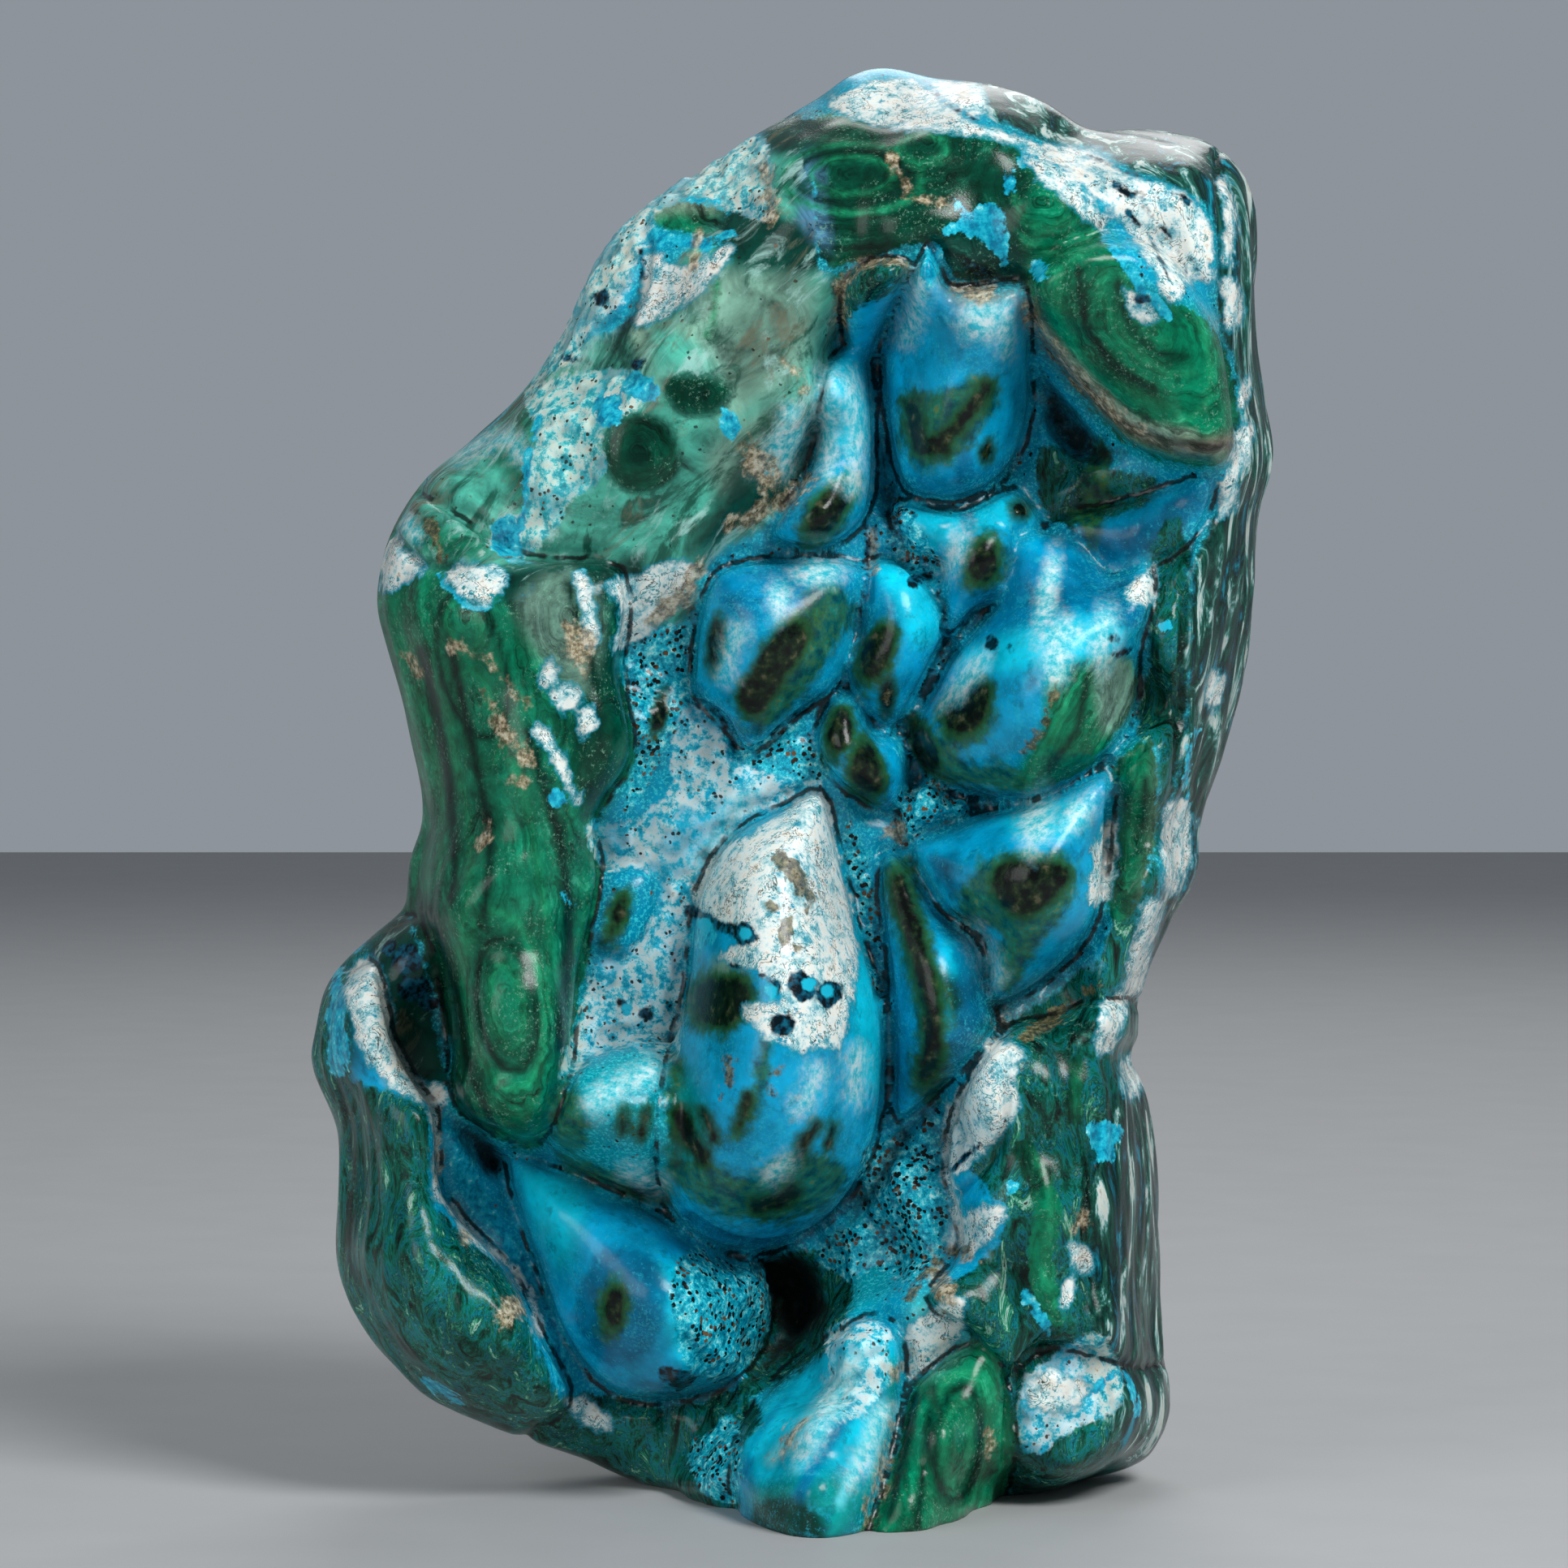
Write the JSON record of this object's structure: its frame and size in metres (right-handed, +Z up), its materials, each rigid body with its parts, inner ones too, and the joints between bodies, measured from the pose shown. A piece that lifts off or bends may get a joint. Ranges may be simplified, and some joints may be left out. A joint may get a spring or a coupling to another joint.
{
  "type": "chrysocolla specimen",
  "caption": "Polished free-form lump of blue-green chrysocolla with banded malachite, a front hollow full of drop-shaped lobes, standing on a small flat cut at its foot.",
  "frame": {"origin": "middle of the width and depth of the stone's box, on the surface it stands on", "axes": "+Z up, -Y towards the front with the hollow of lobes, +X to the right as seen from the front"},
  "size_m": [0.1198, 0.0776, 0.176],
  "materials": {
    "stone": "polished, with rough crust in the hollows"
  },
  "bodies": {
    "root": {"chrysocolla_stone": "stone"}
  },
  "joints": []
}
